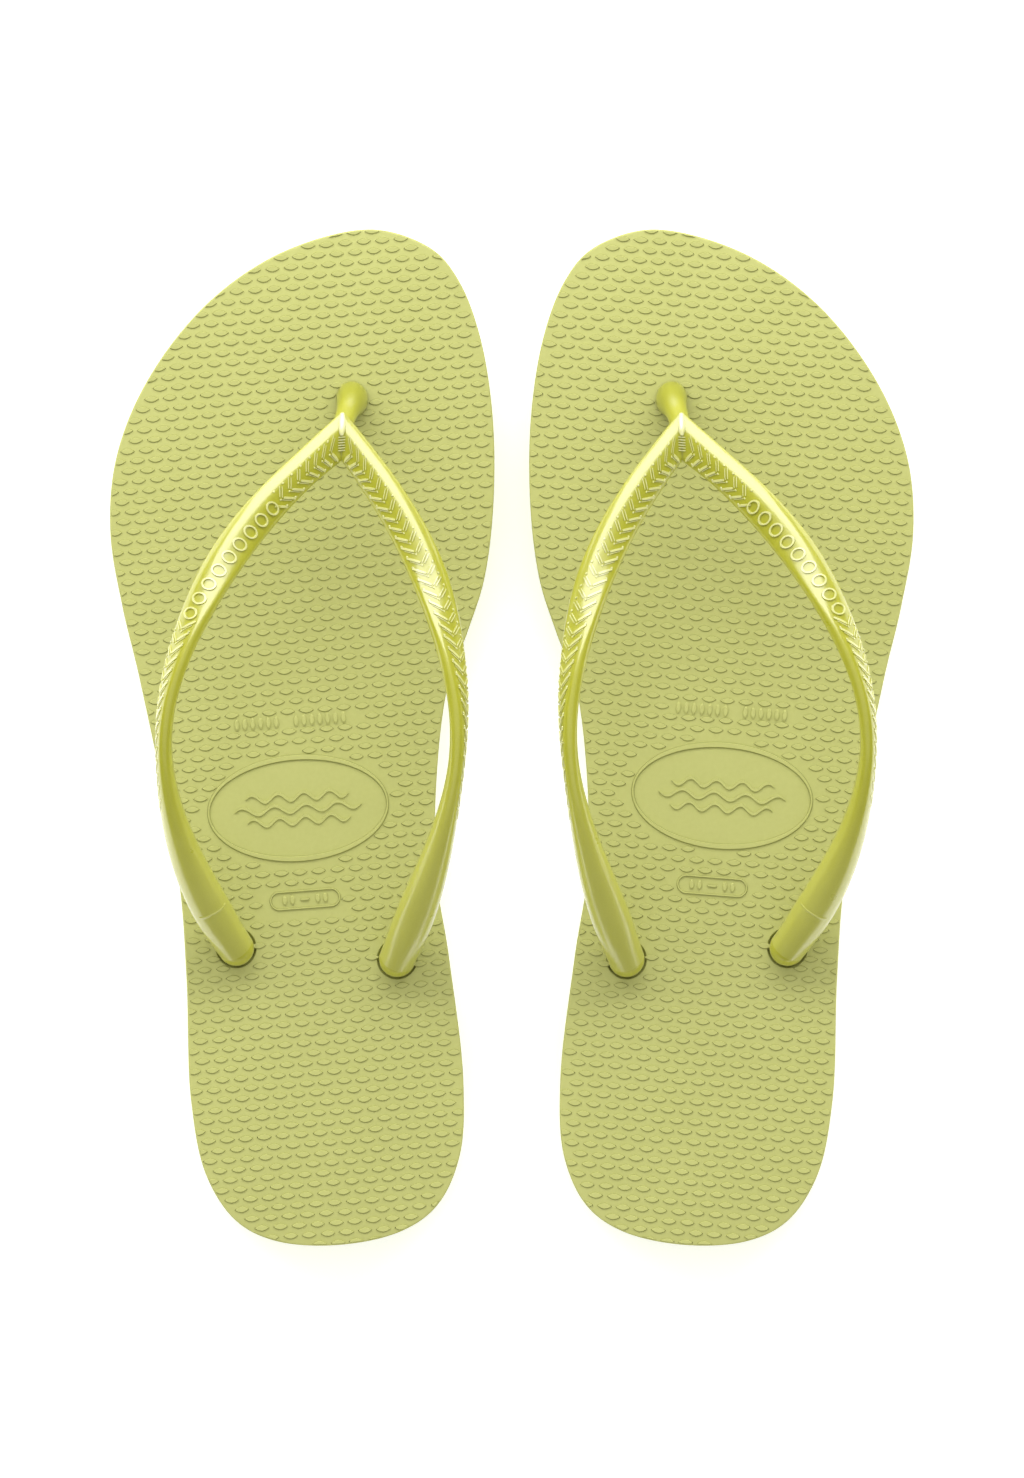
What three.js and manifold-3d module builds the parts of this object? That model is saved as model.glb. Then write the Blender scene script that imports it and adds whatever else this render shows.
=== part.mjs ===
// A pair of slim-strap flip flops, left and right.
//
// Each shoe is a sole laminated from two rubber sheets, the footbed and the outsole, and a
// moulded strap. The strap is one piece: two arms that meet in a V over the toes, a toe post
// under the V, and three retaining plugs that are pulled through the sole into round recesses.
//
// Units are millimetres, +Z is up and +Y points to the toes. One shoe is drawn in its own frame:
// the heel's back edge at y = 0, the heel's middle at x = 0, the ground at z = 0, and +X towards
// the big toe. The left shoe is drawn as it is and the right shoe is its mirror image.
import * as THREE from "three";
import { mergeVertices } from "three/addons/utils/BufferGeometryUtils.js";
import Module from "manifold-3d";

const wasm = await Module();
wasm.setup();

// How the pair lies
const HEEL_SPACING = 89.6; // between the middles of the two heels
const TOE_OUT = 4.4; // degrees that each shoe is turned, heel outwards

// Sole in plan
const SOLE_LENGTH = 262;
const HEEL_WIDTH = 70.8;
const WAIST_WIDTH = 66.7;
const FORE_WIDTH = 101.2;
const FORE_OFFSET = 5.6; // middle of the forefoot, towards the big toe
const WAIST_OFFSET = -0.85;
const WAIST_FROM_HEEL = 98;

// Sole in side view
const OUTSOLE_THICKNESS = 5.7;
const BOND_GAP = 0.3; // glue line between the two sheets
const HEEL_HEIGHT = 16; // ground to the top of the footbed
const FORE_HEIGHT = 12.5;
const RAMP_FROM_HEEL = 98; // where the footbed starts to thin
const RAMP_FROM_TIP = 92; // where it has reached the forefoot's height

// Strap arms
const BAND_WIDTH = 10.4;
const APEX_BAND_WIDTH = 9.6;
const BAND_THICKNESS = 4.2;
const TAIL_WIDTH = 9.6;
const TAIL_THICKNESS = 10.2;
const TAIL_END_DIAMETER = 9.4;
const APEX_ROLL = -26; // degrees: the band's face leans into the V where the arms meet
const TAIL_ROLL = 90; // and faces outwards by the time the arm comes down
const WIDEN_SPAN = [0, 0.2]; // shares of the arm's length over which it reaches its full width
const ROLL_SPAN = [0.12, 0.64]; // over which it turns
const SWELL_SPAN = [0.6, 0.92]; // over which the band swells into the round tail
const END_SPAN = [SWELL_SPAN[1], 1]; // over which the tail narrows to its end
const BAND_SQUARENESS = 2.5; // a little squarer than an ellipse
const ROUND = 2; // the squareness of an ellipse
const APEX_HEIGHT = 19.5; // of the band's middle, above the forefoot
const APEX_FROM_POST = [-3.3, -9.1]; // from the toe hole to where the arms' middles meet

// Fastening
const TOE_HOLE = { x: 20.2, fromTip: 43.5, stem: 6 };
const POST_FLARE = [8.4, 7]; // across and along the shoe, on the footbed
const POST_NECK = [5.4, 5.8]; // under the V
const POST_NARROWS_BY = 0.7; // share of the post's length at which it has its neck's size
const POST_HEAD = [0.2, 1.4, -1.4]; // where the post ends, from where the arms' middles meet
const POST_FOOT_HANDLE = [0, 0, 7]; // the post starts upright
const POST_HEAD_HANDLE = [0.6, 2.7, -5.3]; // and ends leaning back
const STEM_DIAMETER = 8.6; // of the two side stems
const HOLE_CLEARANCE = 0.3; // round a stem, under a plug's rim and under the post's flare
const PLUG_DIAMETER = 16;
const PLUG_THICKNESS = 2.6;
const PLUG_ABOVE_GROUND = 0.5;
const RECESS_CLEARANCE = 1; // round a plug
const TAIL_RISE = 3.2; // of the tail's end above the footbed

// A soft strap never stands quite true: how far each arm of a shoe is pushed outwards, the arm on
// the big toe's side first, as a shift of its curve's end handle.
const LEFT_ARM_PUSH = [0, 0];
const RIGHT_ARM_PUSH = [-2.1, 5.2];

// One entry for each arm: which side it is on, its hole, and the handles at its two ends, with
// their headings in degrees from the shoe's length, their lengths in plan and their rises.
const ARMS = [
  {
    side: 1,
    hole: { x: 20.7, y: 72.8 },
    start: { heading: 35.3, handle: 65.3, rise: 18.5 },
    end: { heading: 27.8, handle: 50.7, rise: 43 },
  },
  {
    side: -1,
    hole: { x: -20.7, y: 78.9 },
    start: { heading: 46.2, handle: 9.4, rise: 2.7 },
    end: { heading: 30.1, handle: 91.5, rise: 59 },
  },
];

const OUTLINE_STEPS = 104;
const RAMP_STEPS = 8;
const ARM_STEPS = 30;
const POST_STEPS = 8;
const SECTION_SIDES = 14;
const ROUND_SIDES = 24;

const footbedRubber = new THREE.MeshStandardMaterial({ color: 0xcdd478, roughness: 0.85, metalness: 0 });
const outsoleRubber = new THREE.MeshStandardMaterial({ color: 0xc6cd6e, roughness: 0.8, metalness: 0 });
const strapVinyl = new THREE.MeshStandardMaterial({ color: 0xc8c83a, roughness: 0.3, metalness: 0 });

const { lerp, clamp, smoothstep, degToRad } = THREE.MathUtils;

// ---------------------------------------------------------------- solids

function solidOf(geometry) {
  const bare = new THREE.BufferGeometry();
  bare.setAttribute("position", geometry.getAttribute("position"));
  bare.setIndex(geometry.index);
  const merged = mergeVertices(bare, 1e-4);
  const mesh = new wasm.Mesh({
    numProp: 3,
    vertProperties: merged.getAttribute("position").array,
    triVerts: new Uint32Array(merged.index.array),
  });
  return new wasm.Manifold(mesh);
}

function meshOf(solid, name, material) {
  const made = solid.getMesh();
  const geometry = new THREE.BufferGeometry();
  geometry.setAttribute("position", new THREE.BufferAttribute(made.vertProperties, 3));
  geometry.setIndex(new THREE.BufferAttribute(made.triVerts, 1));
  const flat = geometry.toNonIndexed();
  flat.computeVertexNormals();
  const mesh = new THREE.Mesh(flat, material);
  mesh.name = name;
  return mesh;
}

// An upright round bar of the given diameter between two heights.
function uprightBar(x, y, diameter, low, high) {
  const bar = new THREE.CylinderGeometry(diameter / 2, diameter / 2, high - low, ROUND_SIDES);
  bar.rotateX(Math.PI / 2);
  bar.translate(x, y, (low + high) / 2);
  return solidOf(bar);
}

// A tube along a path. frameAt(i) gives the two directions of the section and sizeAt(i) its full
// width and thickness, where i counts the steps from the path's start. Its section is a rounded
// rectangle, or an ellipse at squareness 2.
function loft(path, steps, frameAt, sizeAt, squareness) {
  const tube = new THREE.CylinderGeometry(1, 1, 1, SECTION_SIDES, steps);
  const position = tube.getAttribute("position");
  const vertex = new THREE.Vector3();
  const rounded = (c) => Math.sign(c) * Math.abs(c) ** (2 / squareness);
  for (let i = 0; i < position.count; i++) {
    vertex.fromBufferAttribute(position, i);
    const step = Math.round((0.5 - vertex.y) * steps);
    const [across, outwards] = frameAt(step);
    const [width, thickness] = sizeAt(step);
    const radius = Math.hypot(vertex.x, vertex.z);
    const angle = Math.atan2(vertex.z, vertex.x);
    vertex.copy(path.getPoint(step / steps));
    vertex.addScaledVector(across, (radius * rounded(Math.cos(angle)) * width) / 2);
    vertex.addScaledVector(outwards, (radius * rounded(Math.sin(angle)) * thickness) / 2);
    position.setXYZ(i, vertex.x, vertex.y, vertex.z);
  }
  return solidOf(tube);
}

// ---------------------------------------------------------------- sole

// The heel is the same on both sides: share of the half width, distance from the heel's back.
const HEEL_SHAPE = [
  [0.47, 2.4],
  [0.74, 8.3],
  [0.93, 20.5],
  [1, 40],
  [0.965, 72],
];
// The forefoot differs: share of the half width, distance from the toe tip.
const BIG_TOE_SIDE = [
  [0.656, 121],
  [0.787, 106],
  [0.891, 93],
  [0.968, 74],
  [1, 50],
  [0.964, 29],
  [0.881, 15],
  [0.769, 6.8],
  [0.541, 0.8],
  [0.334, 0],
];
const LITTLE_TOE_SIDE = [
  [-0.059, 5],
  [-0.431, 16.5],
  [-0.757, 35],
  [-0.941, 54],
  [-1, 73],
  [-0.968, 92.5],
  [-0.907, 112],
];

function soleShape() {
  const heelPoint = (side) => ([share, y]) => new THREE.Vector3((side * share * HEEL_WIDTH) / 2, y, 0);
  const forePoint = ([share, fromTip]) =>
    new THREE.Vector3(FORE_OFFSET + (share * FORE_WIDTH) / 2, SOLE_LENGTH - fromTip, 0);
  const waistPoint = (side) =>
    new THREE.Vector3(WAIST_OFFSET + (side * WAIST_WIDTH) / 2, WAIST_FROM_HEEL, 0);
  const points = [
    new THREE.Vector3(0, 0, 0),
    ...HEEL_SHAPE.map(heelPoint(1)),
    waistPoint(1),
    ...BIG_TOE_SIDE.map(forePoint),
    ...LITTLE_TOE_SIDE.map(forePoint),
    waistPoint(-1),
    ...HEEL_SHAPE.map(heelPoint(-1)).reverse(),
  ];
  const curve = new THREE.CatmullRomCurve3(points, true, "centripetal");
  const around = curve.getSpacedPoints(OUTLINE_STEPS).slice(0, -1);
  return new THREE.Shape(around.map((p) => new THREE.Vector2(p.x, p.y)));
}

// The side view of the footbed as a slab wider than the sole, to be cut by the outline.
function footbedSlab(bottom) {
  const reach = FORE_WIDTH + Math.abs(FORE_OFFSET);
  const rampEnd = SOLE_LENGTH - RAMP_FROM_TIP;
  const outline = [
    [-1, bottom],
    [SOLE_LENGTH + 1, bottom],
    [SOLE_LENGTH + 1, FORE_HEIGHT],
  ];
  for (let i = 0; i <= RAMP_STEPS; i++) {
    const y = lerp(rampEnd, RAMP_FROM_HEEL, i / RAMP_STEPS);
    outline.push([y, lerp(FORE_HEIGHT, HEEL_HEIGHT, smoothstep(i / RAMP_STEPS, 0, 1))]);
  }
  outline.push([-1, HEEL_HEIGHT]);
  const shape = new THREE.Shape(outline.map(([y, z]) => new THREE.Vector2(y, z)));
  const slab = new THREE.ExtrudeGeometry(shape, { depth: 2 * reach, bevelEnabled: false });
  const sideways = new THREE.Matrix4().makeBasis(
    new THREE.Vector3(0, 1, 0),
    new THREE.Vector3(0, 0, 1),
    new THREE.Vector3(1, 0, 0),
  );
  slab.translate(0, 0, -reach);
  slab.applyMatrix4(sideways);
  return solidOf(slab);
}

// Where the strap goes through the sole, with the stem's diameter there.
const PLUGS = [
  { x: TOE_HOLE.x, y: SOLE_LENGTH - TOE_HOLE.fromTip, stem: TOE_HOLE.stem, top: FORE_HEIGHT },
  ...ARMS.map(({ hole }) => ({ x: hole.x, y: hole.y, stem: STEM_DIAMETER, top: HEEL_HEIGHT })),
];

function cutStemHoles(sheet) {
  return PLUGS.reduce((cut, { x, y, stem }) => {
    const hole = uprightBar(x, y, stem + 2 * HOLE_CLEARANCE, -1, HEEL_HEIGHT + 1);
    return cut.subtract(hole);
  }, sheet);
}

function footbedSolid() {
  const blank = new THREE.ExtrudeGeometry(soleShape(), { depth: HEEL_HEIGHT + 1, bevelEnabled: false });
  const sheet = footbedSlab(OUTSOLE_THICKNESS + BOND_GAP).intersect(solidOf(blank));
  return cutStemHoles(sheet);
}

function outsoleSolid() {
  const blank = new THREE.ExtrudeGeometry(soleShape(), { depth: OUTSOLE_THICKNESS, bevelEnabled: false });
  const recessDiameter = PLUG_DIAMETER + 2 * RECESS_CLEARANCE;
  const recessDepth = PLUG_ABOVE_GROUND + PLUG_THICKNESS + HOLE_CLEARANCE;
  return PLUGS.reduce((cut, { x, y }) => {
    const recess = uprightBar(x, y, recessDiameter, -1, recessDepth);
    return cut.subtract(recess);
  }, cutStemHoles(solidOf(blank)));
}

// ---------------------------------------------------------------- strap

const TOE_PLUG = PLUGS[0];
const APEX = new THREE.Vector3(
  TOE_PLUG.x + APEX_FROM_POST[0],
  TOE_PLUG.y + APEX_FROM_POST[1],
  FORE_HEIGHT + APEX_HEIGHT,
);
const MITRE_REACH = 10; // how far an arm runs past the apex before it is mitred
const MITRE_OVERLAP = 0.1; // how far it is left past the mitre, so that the two arms join

// A handle from an end of an arm: outwards at a heading, towards the toes or away, and up.
function armHandle(from, side, { heading, handle, rise }, towardsToes) {
  const angle = degToRad(heading);
  const outwards = side * handle * Math.sin(angle);
  const along = towardsToes * handle * Math.cos(angle);
  return from.clone().add(new THREE.Vector3(outwards, along, rise));
}

// The middle of one arm, from the V to the top of its stem.
function armCurve(arm, push) {
  const end = new THREE.Vector3(arm.hole.x, arm.hole.y, HEEL_HEIGHT + TAIL_RISE);
  const startHandle = armHandle(APEX, arm.side, arm.start, -1);
  const endHandle = armHandle(end, arm.side, arm.end, 1);
  endHandle.x += arm.side * push;
  return new THREE.CubicBezierCurve3(APEX, startHandle, endHandle, end);
}

// The two directions of the band's section at a point: across its face and out of its face.
function bandFrame(tangent, side, roll) {
  const out = new THREE.Vector3(-tangent.y, tangent.x, 0).multiplyScalar(side).normalize();
  const up = new THREE.Vector3().crossVectors(tangent, out).multiplyScalar(side);
  const angle = degToRad(roll);
  const across = out.clone().multiplyScalar(Math.cos(angle)).addScaledVector(up, -Math.sin(angle));
  const face = up.clone().multiplyScalar(Math.cos(angle)).addScaledVector(out, Math.sin(angle));
  return [across.multiplyScalar(side), face];
}

function bandRoll(f) {
  return lerp(APEX_ROLL, TAIL_ROLL, smoothstep(f, ...ROLL_SPAN));
}

function bandSize(f) {
  const band = lerp(APEX_BAND_WIDTH, BAND_WIDTH, smoothstep(f, ...WIDEN_SPAN));
  const swelling = smoothstep(f, ...SWELL_SPAN);
  const width = lerp(band, TAIL_WIDTH, swelling);
  const thickness = lerp(BAND_THICKNESS, TAIL_THICKNESS, swelling);
  const ending = smoothstep(f, ...END_SPAN);
  return [lerp(width, TAIL_END_DIAMETER, ending), lerp(thickness, TAIL_END_DIAMETER, ending)];
}

function armSolid(arm, push) {
  const curve = armCurve(arm, push);
  const startTangent = curve.getTangent(0);
  const path = new THREE.CurvePath();
  path.add(new THREE.LineCurve3(APEX.clone().addScaledVector(startTangent, -MITRE_REACH), APEX));
  path.add(curve);
  const stepLength = path.getLength() / ARM_STEPS;
  const along = (step) => clamp((step * stepLength - MITRE_REACH) / curve.getLength(), 0, 1);
  const frameAt = (step) => bandFrame(curve.getTangentAt(along(step)), arm.side, bandRoll(along(step)));
  const sizeAt = (step) => bandSize(along(step));
  const band = loft(path, ARM_STEPS, frameAt, sizeAt, BAND_SQUARENESS);
  const ball = new THREE.SphereGeometry(TAIL_END_DIAMETER / 2, 16, 10);
  ball.translate(arm.hole.x, arm.hole.y, HEEL_HEIGHT + TAIL_RISE);
  return band.subtract(beyondMitre(arm)).add(solidOf(ball));
}

// Everything on the other arm's side of the upright plane that halves the V's angle.
function beyondMitre(arm) {
  const size = 4 * MITRE_REACH;
  const headings = ARMS.map(({ side, start }) => side * start.heading);
  const halving = degToRad((headings[0] + headings[1]) / 2);
  const box = new THREE.BoxGeometry(size, 4 * size, 4 * size);
  box.translate(-arm.side * (size / 2 + MITRE_OVERLAP), 0, 0);
  box.rotateZ(halving);
  box.translate(APEX.x, APEX.y, APEX.z);
  return solidOf(box);
}

// The toe post: a flared foot on the footbed, leaning back into the underside of the V.
function postSolid() {
  const foot = new THREE.Vector3(TOE_PLUG.x, TOE_PLUG.y, FORE_HEIGHT + HOLE_CLEARANCE);
  const head = APEX.clone().add(new THREE.Vector3(...POST_HEAD));
  const footHandle = foot.clone().add(new THREE.Vector3(...POST_FOOT_HANDLE));
  const headHandle = head.clone().add(new THREE.Vector3(...POST_HEAD_HANDLE));
  const curve = new THREE.CubicBezierCurve3(foot, footHandle, headHandle, head);
  const sideways = new THREE.Vector3(1, 0, 0);
  const frameAt = (step) => {
    const tangent = step === 0 ? new THREE.Vector3(0, 0, 1) : curve.getTangentAt(step / POST_STEPS);
    const forwards = new THREE.Vector3().crossVectors(tangent, sideways).normalize();
    return [new THREE.Vector3().crossVectors(forwards, tangent), forwards];
  };
  const sizeAt = (step) => {
    const narrowing = smoothstep(step / POST_STEPS, 0, POST_NARROWS_BY);
    return [lerp(POST_FLARE[0], POST_NECK[0], narrowing), lerp(POST_FLARE[1], POST_NECK[1], narrowing)];
  };
  return loft(curve, POST_STEPS, frameAt, sizeAt, ROUND);
}

// A stem through the sole with its retaining plug under it.
function plugSolid(plug, stemTop) {
  const radius = PLUG_DIAMETER / 2;
  const edge = PLUG_THICKNESS / 4;
  const low = PLUG_ABOVE_GROUND;
  const high = low + PLUG_THICKNESS;
  const profile = [
    [0, low],
    [radius - edge, low],
    [radius, low + edge],
    [radius, high - edge],
    [radius - edge, high],
    [0, high],
  ];
  const disc = new THREE.LatheGeometry(profile.map(([r, z]) => new THREE.Vector2(r, z)), ROUND_SIDES);
  disc.rotateX(Math.PI / 2);
  disc.translate(plug.x, plug.y, 0);
  const stem = uprightBar(plug.x, plug.y, plug.stem, (low + high) / 2, stemTop);
  return solidOf(disc).add(stem);
}

function strapSolid(armPush) {
  const stemTops = [FORE_HEIGHT + 2 * HOLE_CLEARANCE, HEEL_HEIGHT + TAIL_RISE, HEEL_HEIGHT + TAIL_RISE];
  const pieces = [
    postSolid(),
    ...ARMS.map((arm, i) => armSolid(arm, armPush[i])),
    ...PLUGS.map((plug, i) => plugSolid(plug, stemTops[i])),
  ];
  return pieces.reduce((joined, piece) => joined.add(piece));
}

// ---------------------------------------------------------------- the pair

const footbed = footbedSolid();
const outsole = outsoleSolid();

function shoe(name, side, armPush) {
  const turned = new THREE.Group();
  turned.rotation.z = degToRad(TOE_OUT);
  turned.add(meshOf(footbed, name + "_footbed", footbedRubber));
  turned.add(meshOf(outsole, name + "_outsole", outsoleRubber));
  turned.add(meshOf(strapSolid(armPush), name + "_strap", strapVinyl));
  turned.position.x = -HEEL_SPACING / 2;
  const handed = new THREE.Group();
  handed.scale.x = side;
  handed.add(turned);
  return handed;
}

const pair = new THREE.Group();
pair.add(shoe("left", 1, LEFT_ARM_PUSH));
pair.add(shoe("right", -1, RIGHT_ARM_PUSH));

// The origin is on the ground, under the middle of the pair's box.
pair.updateMatrixWorld(true);
const middle = new THREE.Box3().setFromObject(pair, true).getCenter(new THREE.Vector3());
pair.position.y = -middle.y;

export default pair;
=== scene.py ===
"""A pair of flip flops: grained rubber footbeds, treaded outsoles and pearly moulded straps.

Every piece is shaped in the left shoe's own millimetres, with x towards the big toe, y from the
heel's back to the toes and z up, and is then placed in the frame. The right shoe is its mirror image,
apart from what SHOES lists.
"""

import math
import random

import bmesh
import bpy
from mathutils import Matrix, Vector
from mathutils.geometry import interpolate_bezier
from mathutils.kdtree import KDTree


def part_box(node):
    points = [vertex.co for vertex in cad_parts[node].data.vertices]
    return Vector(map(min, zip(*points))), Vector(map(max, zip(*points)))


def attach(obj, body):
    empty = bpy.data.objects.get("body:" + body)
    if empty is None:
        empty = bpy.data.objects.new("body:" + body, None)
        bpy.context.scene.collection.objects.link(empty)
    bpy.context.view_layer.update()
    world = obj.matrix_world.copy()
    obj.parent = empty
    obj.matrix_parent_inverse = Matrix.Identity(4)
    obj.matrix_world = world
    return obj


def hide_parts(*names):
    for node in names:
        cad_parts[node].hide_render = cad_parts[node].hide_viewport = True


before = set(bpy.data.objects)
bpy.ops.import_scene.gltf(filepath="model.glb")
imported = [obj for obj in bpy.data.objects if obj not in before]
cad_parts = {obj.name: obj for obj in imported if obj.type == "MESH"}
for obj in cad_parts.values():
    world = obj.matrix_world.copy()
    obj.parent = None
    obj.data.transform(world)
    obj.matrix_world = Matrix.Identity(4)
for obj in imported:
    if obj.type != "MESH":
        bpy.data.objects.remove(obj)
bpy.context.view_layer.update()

# ---------------------------------------------------------------- the frame's sizes, in mm

MM = 0.001
HEEL_SPACING = 89.6
TOE_OUT = math.radians(4.4)
SOLE_LENGTH = 262
HEEL_WIDTH = 70.8
WAIST_WIDTH = 66.7
FORE_WIDTH = 101.2
FORE_OFFSET = 5.6
WAIST_OFFSET = -0.85
WAIST_FROM_HEEL = 98
HEEL_HEIGHT = 16
FORE_HEIGHT = 12.5
RAMP_START = 98
RAMP_END = 170
LAYER_SEAM = 5.85
TOE_HOLE = Vector((20.2, 218.5, 0))
TOE_STEM = 6
STEM = 8.6
TAIL_END = 9.4
TAIL_RISE = 3.2
RECESS_RADIUS = 9
RECESS_DEPTH = 3.4
HOLE_CLEARANCE = 0.3
APEX = Vector((16.9, 209.4, 32))

# ---------------------------------------------------------------- sizes of the detail, in mm

CLOSE = 1e-3  # points nearer than this are one point
FOOT_DEPTH = 0.4  # how far the feet of raised shapes are sunk into the footbed
CREASE_SHADE = -3.5  # painted shade: how dark the sunk feet of the strap's pattern are painted, for the crease above them
RAMP_CUTS = 30
MOUTH_DEPTH = 1.8
MOUTH_FLARE = 0.8
POST_FOOT = (8.4, 9.4)
POST_NECK = (5.4, 5.8)
GROOVE_PITCH = 5.2
GROOVE_DEPTH = 1.1
GROOVE_MOUTH = 1.7
GROOVE_FLOOR = 1.1
GROOVE_SWING = 1.3
GROOVE_WAVE = 14
PLAIN_RIM = 4.5

HEEL_SHAPE = [(0.47, 2.4), (0.74, 8.3), (0.93, 20.5), (1, 40), (0.965, 72)]
BIG_TOE_SIDE = [
    (0.656, 121), (0.787, 106), (0.891, 93), (0.968, 74), (1, 50),
    (0.964, 29), (0.881, 15), (0.769, 6.8), (0.541, 0.8), (0.334, 0),
]
LITTLE_TOE_SIDE = [
    (-0.059, 5), (-0.431, 16.5), (-0.757, 35), (-0.941, 54), (-1, 73), (-0.968, 92.5), (-0.907, 112),
]

# What differs between the two shoes: how far each arm leans out, and where the heel print lies.
SHOES = {
    "left": {
        "side": 1, "push": (0, 0), "badge": (-1.9, 113.8), "size": (-1.9, 90.1), "row": (-2.5, 136.4),
    },
    "right": {
        "side": -1, "push": (-2.1, 5.2), "badge": (-0.8, 116.9), "size": (0, 93.4), "row": (-1.8, 138.9),
    },
}


def lerp(a, b, share):
    return a + (b - a) * share


def smoothstep(value, start, end):
    share = min(max((value - start) / (end - start), 0), 1)
    return share * share * (3 - 2 * share)


def top_height(y):
    """Height of the footbed's top, which slopes down from the heel to the ball of the foot."""
    return lerp(HEEL_HEIGHT, FORE_HEIGHT, smoothstep(y, RAMP_START, RAMP_END))


# ---------------------------------------------------------------- meshes


def solid(bm, name="form"):
    """A mesh object made from a bmesh, which is freed; its faces all point the same way already."""
    if bm.calc_volume(signed=True) < 0:
        bmesh.ops.reverse_faces(bm, faces=bm.faces[:])
    mesh = bpy.data.meshes.new(name)
    bm.to_mesh(mesh)
    bm.free()
    form = bpy.data.objects.new(name, mesh)
    bpy.context.scene.collection.objects.link(form)
    return form


def boolean(base, operation, *tools):
    """The base with the tools joined to it, cut from it or kept of it, as one closed mesh."""
    for tool in tools:
        change = base.modifiers.new(operation, "BOOLEAN")
        change.operation = operation
        change.solver = "MANIFOLD"
        change.object = tool
    evaluated = base.evaluated_get(bpy.context.evaluated_depsgraph_get())
    mesh = bpy.data.meshes.new_from_object(evaluated)
    base.modifiers.clear()
    base.data = mesh
    for tool in tools:
        bpy.data.objects.remove(tool)
    return base


def painted_light_layer(bm):
    """The painted light a vertex carries: above 0 a painted highlight, as on a raised pattern's top, below
    0 painted shade, as in its crease.
    """
    return bm.verts.layers.float.get("raised") or bm.verts.layers.float.new("raised")


def stamp(bm, shape, painted_highlight=1.0):
    """Adds a copy of a small mesh and returns its vertices; its top gets a painted highlight and its sunk
    foot the painted shade of a crease.
    """
    start = len(bm.verts)
    bm.from_mesh(shape)
    raised = painted_light_layer(bm)
    bm.verts.ensure_lookup_table()
    for vert in bm.verts[start:]:
        vert[raised] = painted_highlight if vert.co.z > 0 else CREASE_SHADE
    return bm.verts[start:]


def even(bm):
    """Makes the faces of a shape that was bridged or spun all point outwards."""
    bm.normal_update()
    bmesh.ops.recalc_face_normals(bm, faces=bm.faces[:])
    return bm


def new_verts(made):
    """The vertices among what an operator made."""
    return [v for v in made["geom"] if isinstance(v, bmesh.types.BMVert)]


def tube(bm, sides, rows, place):
    """A skin of quads round a form; place gives a point from the step round it and the row along it."""
    made = bmesh.ops.create_grid(bm, x_segments=sides, y_segments=rows, size=0.5)
    for vert in made["verts"]:
        vert.co = place(round((vert.co.x + 0.5) * sides) % sides, round((vert.co.y + 0.5) * rows))
    bmesh.ops.remove_doubles(bm, verts=made["verts"], dist=CLOSE)


def closed_tube(bm, sides, rows, place):
    """A tube with its two ends filled."""
    tube(bm, sides, rows, place)
    bmesh.ops.holes_fill(bm, edges=[e for e in bm.edges if len(e.link_faces) == 1], sides=0)
    return even(bm)


def prism(outline, low, high):
    """An upright block with the given outline."""
    bm = bmesh.new()
    face = bm.faces.new([bm.verts.new((x, y, low)) for x, y in outline])
    grown = bmesh.ops.extrude_face_region(bm, geom=[face])
    bmesh.ops.translate(bm, verts=new_verts(grown), vec=(0, 0, high - low))
    return even(bm)


def rounded_rim(bm, height, radius, segments):
    """Rounds the edges that lie at a height."""
    rim = [e for e in bm.edges if all(abs(v.co.z - height) < CLOSE for v in e.verts)]
    bmesh.ops.bevel(
        bm, geom=rim, offset=radius, offset_type="OFFSET", affect="EDGES",
        segments=segments, profile=0.5, material=-1,
    )


def post_bar(x, y, radius, low, high, top_radius=None):
    """An upright round bar, or a cone."""
    bm = bmesh.new()
    bmesh.ops.create_cone(
        bm, cap_ends=True, segments=48, radius1=radius,
        radius2=radius if top_radius is None else top_radius, depth=high - low,
        matrix=Matrix.Translation((x, y, (low + high) / 2)),
    )
    return bm


def finished(form, name, shoe, material, sharp):
    """Places a piece in the frame, keeps edges past the sharp angle crisp, and gives it to its shoe."""
    side = SHOES[shoe]["side"]
    mirror = Matrix.Diagonal((side, 1, 1, 1))
    move = Matrix.Translation((-HEEL_SPACING / 2 * MM, HEEL_BACK * MM, 0))
    turn = Matrix.Rotation(TOE_OUT, 4, "Z")
    place = mirror @ move @ turn @ Matrix.Scale(MM, 4)
    bm = bmesh.new()
    bm.from_mesh(form.data)
    bmesh.ops.transform(bm, matrix=place, verts=bm.verts[:])
    if side < 0:
        bmesh.ops.reverse_faces(bm, faces=bm.faces[:])
    for face in bm.faces:
        face.smooth = True
    for edge in bm.edges:
        edge.smooth = edge.calc_face_angle(0) < math.radians(sharp)
    bm.to_mesh(form.data)
    bm.free()
    form.name = form.data.name = f"{shoe}_{name}"
    form.data.materials.clear()
    form.data.materials.append(material)
    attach(form, f"{shoe}_shoe")
    return form


# ---------------------------------------------------------------- the sole's outline


def spaced(points, count):
    """Points evenly spaced along a closed line."""
    ends = points[1:] + points[:1]
    lengths = [math.dist(a, b) for a, b in zip(points, ends)]
    total = sum(lengths)
    found, at, start = [], 0, 0.0
    for i in range(count):
        goal = total * i / count
        while start + lengths[at] < goal:
            start += lengths[at]
            at += 1
        share = (goal - start) / lengths[at]
        found.append(tuple(lerp(a, b, share) for a, b in zip(points[at], ends[at])))
    return found


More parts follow.
